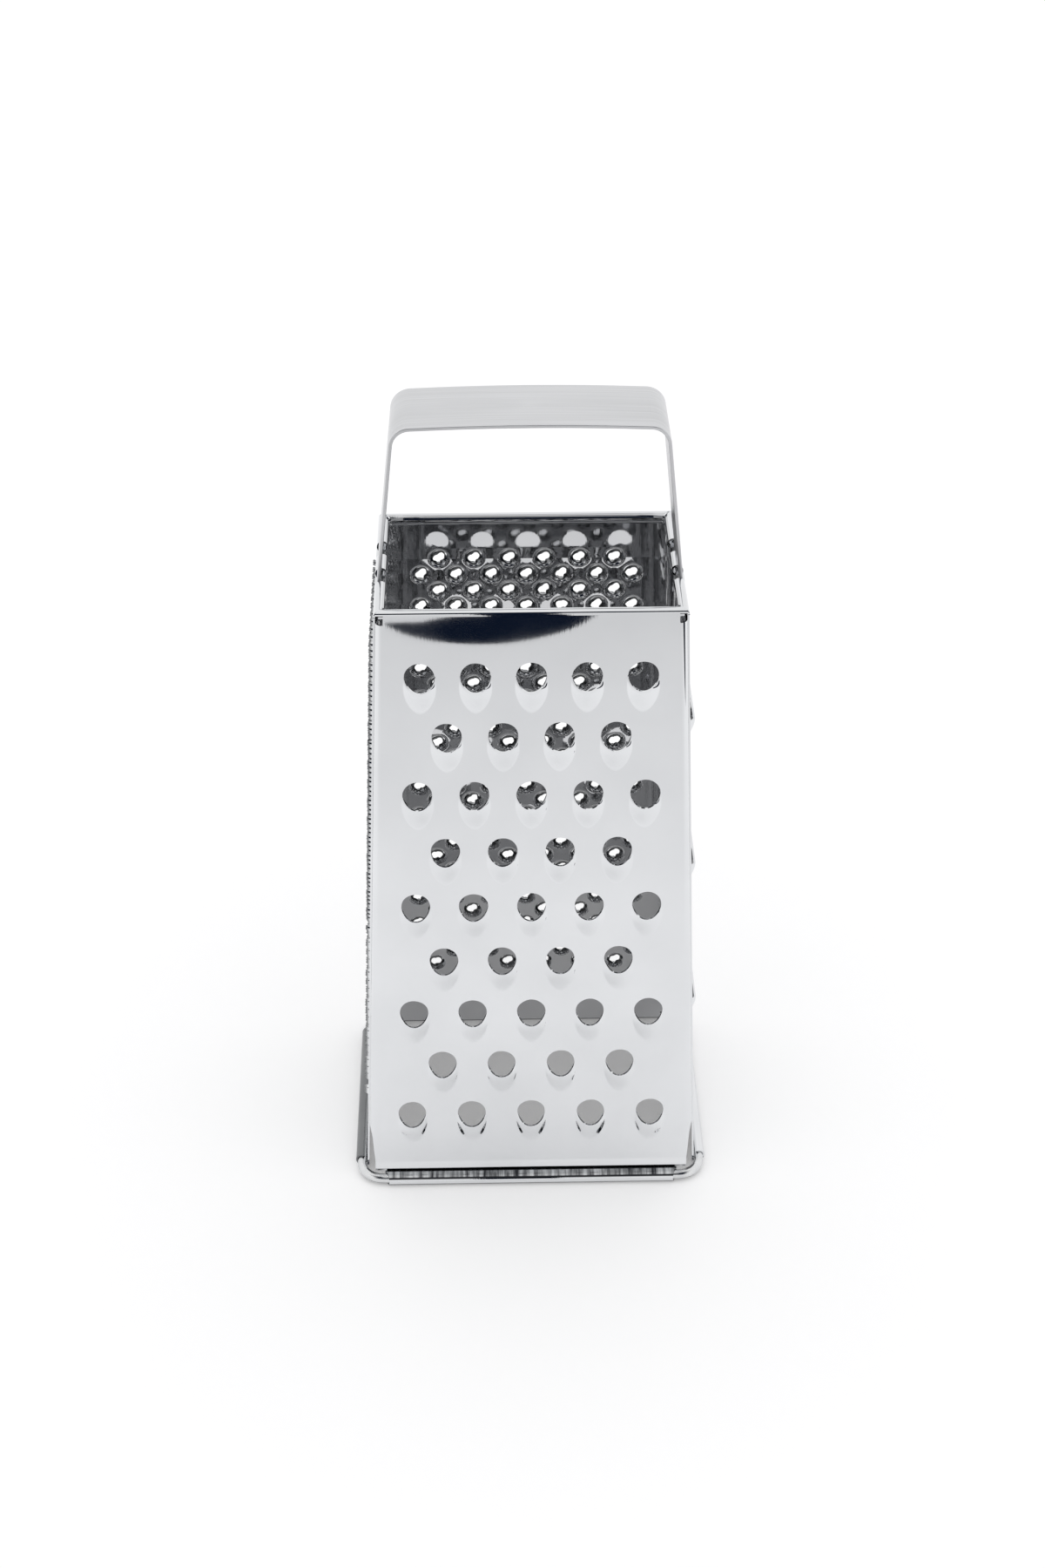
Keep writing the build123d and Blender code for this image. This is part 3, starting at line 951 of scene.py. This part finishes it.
def satin_strap():
    """Stainless strap brushed along its length."""
    finish = Finish("satin_strap")
    finish.inputs["Metallic"].default_value = 1.0
    finish.inputs["Anisotropic"].default_value = 0.5
    brushing = finish.pattern(scale=40, detail=4, stretch=(0.6, 60, 0.6))
    cloud = finish.pattern(scale=30, detail=2)
    colour = finish.tint(brushing, (0.60, 0.605, 0.615), (0.68, 0.685, 0.70))
    finish.feed(finish.inputs["Base Color"], colour)
    finish.feed(finish.inputs["Roughness"], finish.spread(cloud, 0.3, 0.36))
    finish.feed(finish.inputs["Normal"], finish.bump(brushing, brushing_depth))
    return finish.material


def drawn_wire():
    """Bright wire with faint drawing marks, and painted contact shadow below."""
    finish = Finish("drawn_wire")
    finish.inputs["Metallic"].default_value = 1.0
    marks = finish.pattern(scale=300, detail=3)
    colour = finish.tint(marks, (0.66, 0.67, 0.68), (0.78, 0.785, 0.79))
    # Painted contact shadow on the underside of the wire
    finish.feed(finish.inputs["Base Color"], finish.contact_shaded(colour, marks, wire_contact_shadow_top))
    finish.feed(finish.inputs["Roughness"], finish.spread(marks, 0.18, 0.3))
    finish.feed(finish.inputs["Normal"], finish.bump(marks, drawing_depth))
    return finish.material


def dress(piece, material, node):
    """Finish a piece that stands for a node of the same rigid body."""
    piece.data.materials.append(material)
    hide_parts(node)
    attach(piece, "root")


coarse_teeth = (coarse_points, coarse_rings)
medium_teeth = (medium_points, medium_rings)
fine_teeth = (fine_points, fine_rings)
rasp_teeth = (rasp_points, rasp_rings)
coarse_wall = folded_wall(front, "coarse_wall", coarse_teeth, front_roll_radius, front_roll_lift)
medium_wall = folded_wall(back, "medium_wall", medium_teeth)
fine_wall = flat_wall(left, "fine_wall", teeth=[fine_teeth, rasp_teeth])
slicer_wall = flat_wall(right, "slicer_wall", blades=blade_points)
dress(coarse_wall, bright_sheet("coarse_steel", painted_roll_reflection=True, flare=flare_depth), "front_panel")
dress(medium_wall, bright_sheet("medium_steel", back, painted_roll_reflection=True, bow=True), "back_panel")
dress(fine_wall, bright_sheet("fine_steel", left), "left_panel")
dress(slicer_wall, bright_sheet("slicer_steel"), "right_panel")
dress(base_wire_ring(), drawn_wire(), "base_wire")
dress(handle_band(), satin_strap(), "handle_strap")


def stage_piece(name, faces, material):
    """Part of the studio, from the corners of its faces in millimetres."""
    points = [corner * MM for face in faces for corner in face]
    counted = iter(range(len(points)))
    mesh = bpy.data.meshes.new(name)
    mesh.from_pydata(points, [], [[next(counted) for _ in face] for face in faces])
    piece = bpy.data.objects.new(name, mesh)
    bpy.context.scene.collection.objects.link(piece)
    piece.data.materials.append(material)
    return piece


def level_face(corners, height):
    """Level face at a height, from its corners along X and Y."""
    return [Vector((x, y, height)) for x, y in corners]


def level_arc(middle, radius, first, last, count=32):
    """Points of a level arc."""
    turns = [mix(first, last, i / count) for i in range(count + 1)]
    return [middle + Vector((cos(turn), sin(turn), 0)) * radius for turn in turns]


def flag_faces(radius, near, far, first, last, count=12):
    """Faces of a flag bent round the X axis, between two places along X and two angles above the floor."""
    rows = []
    for i in range(count + 1):
        turn = mix(first, last, i / count)
        rows.append([Vector((x, -radius * cos(turn), radius * sin(turn))) for x in (near, far)])
    return [[low[0], low[1], high[1], high[0]] for low, high in zip(rows, rows[1:])]


def pale_floor():
    """Pale matt floor that reads white where nothing shades it.

    Reflections see it fall off in front of the grater, as the photographed table does.
    """
    finish = Finish("pale_floor")
    finish.inputs["Base Color"].default_value = (0.79, 0.79, 0.795, 1)
    finish.inputs["Roughness"].default_value = 1.0
    finish.inputs["Specular IOR Level"].default_value = 0.0
    finish.inputs["Emission Color"].default_value = (1, 1, 1, 1)
    path = finish.nodes.new("ShaderNodeLightPath").outputs
    glossy = path["Is Glossy Ray"]
    seen = finish.math("MAXIMUM", path["Is Camera Ray"], glossy)
    seen = finish.math("MAXIMUM", seen, path["Is Transmission Ray"])
    fall = finish.ramp(finish.axis("Y"), floor_fall_start, floor_fall_end)
    loss = finish.math("MULTIPLY", finish.math("MULTIPLY", fall, glossy), floor_fall)
    glow = finish.math("SUBTRACT", finish.math("MULTIPLY", seen, floor_lift), loss)
    finish.feed(finish.inputs["Emission Strength"], glow)
    return finish.material


def card(name, colour):
    """Plain colour that only reflections see."""
    material = bpy.data.materials.new(name)
    material.use_nodes = True
    nodes = material.node_tree.nodes
    nodes.clear()
    glow = nodes.new("ShaderNodeEmission")
    glow.inputs["Color"].default_value = (*colour, 1)
    out = nodes.new("ShaderNodeOutputMaterial")
    material.node_tree.links.new(glow.outputs[0], out.inputs["Surface"])
    return material


def reflected_card(name, faces, material):
    """Studio card that is kept out of the picture and out of the light."""
    piece = stage_piece(name, faces, material)
    piece.visible_camera = False
    piece.visible_diffuse = False
    piece.visible_shadow = False
    piece.visible_transmission = False


# Floor: how far it reaches, its glow where it is seen, and the fall of that glow in reflections
# between two places in metres
floor_reach = 6000
floor_lift = 0.25
floor_fall = 0.24
floor_fall_start = -0.15
floor_fall_end = -0.43
floor_corners = [(x * floor_reach, y * floor_reach) for x, y in ((-1, -1), (1, -1), (1, 1), (-1, 1))]
stage_piece("studio_floor", [level_face(floor_corners, 0)], pale_floor())

# Dark shapes that the photographed steel reflects; those on the floor lie just above it
card_height = 1
navy = card("navy_card", (0.004, 0.008, 0.02))
curtain_middle = Vector((-11, -452, card_height))
curtain_radius = 54
curtain_first = radians(22)
curtain_last = radians(145)
curtain_far_edge = ((-37, -421), (-19, -429), (-2, -434), (12, -437), (30, -437))
curtain_outline = level_arc(curtain_middle, curtain_radius, curtain_first, curtain_last)
curtain_outline += level_face(curtain_far_edge, card_height)
reflected_card("curtain_card", [curtain_outline], navy)

# Flags: a strip across in front, two higher ones at the sides, and a watcher in the middle from the floor up
flag_radius = 1200
flag_reach = 800
flag_low = radians(20)
flag_high = radians(47)
flag_top = radians(80)
flag_foot = 0.001
side_flag_start = 160
watcher_left = -16
watcher_right = 45
watcher_foot = ((-9, -432), (watcher_left, -flag_radius), (watcher_right, -flag_radius), (26, -432))
flags = flag_faces(flag_radius, -flag_reach, flag_reach, flag_low, flag_high)
flags += flag_faces(flag_radius, -flag_reach, -side_flag_start, flag_high, flag_top)
flags += flag_faces(flag_radius, side_flag_start, flag_reach, flag_high, flag_top)
flags += flag_faces(flag_radius, watcher_left, watcher_right, flag_foot, flag_low)
flags.append(level_face(watcher_foot, card_height))
reflected_card("front_flags", flags, navy)

side_card_corners = ((345, -300), (480, -300), (480, -90), (345, -90))
reflected_card("side_card", [level_face(side_card_corners, card_height)], navy)

world = bpy.data.worlds.new("studio_air")
bpy.context.scene.world = world
world.use_nodes = True
world.node_tree.nodes["Background"].inputs["Color"].default_value = (1, 1, 1, 1)
world.node_tree.nodes["Background"].inputs["Strength"].default_value = 1.0

# Camera, solved from the photograph at the sizes above
camera_place = Vector((-1.7305, -583.52, 502.80))
camera_pitch = 0.5874
camera_yaw = 0.0213
camera_focal_pixels = 2880.39
photo_width = 1200
sensor_width = 36.0
camera = bpy.data.objects.new("camera", bpy.data.cameras.new("camera"))
bpy.context.scene.collection.objects.link(camera)
camera.data.sensor_fit = "HORIZONTAL"
camera.data.sensor_width = sensor_width
camera.data.lens = camera_focal_pixels * sensor_width / photo_width
camera.data.clip_start = 0.01
camera.data.clip_end = 50
turned = Vector((
    camera_place.x * cos(camera_yaw) + camera_place.y * sin(camera_yaw),
    camera_place.y * cos(camera_yaw) - camera_place.x * sin(camera_yaw),
    camera_place.z,
))
camera.location = turned * MM
camera.rotation_euler = (pi / 2 - camera_pitch, 0, -camera_yaw)
bpy.context.scene.camera = camera
bpy.context.scene.view_settings.view_transform = "Standard"
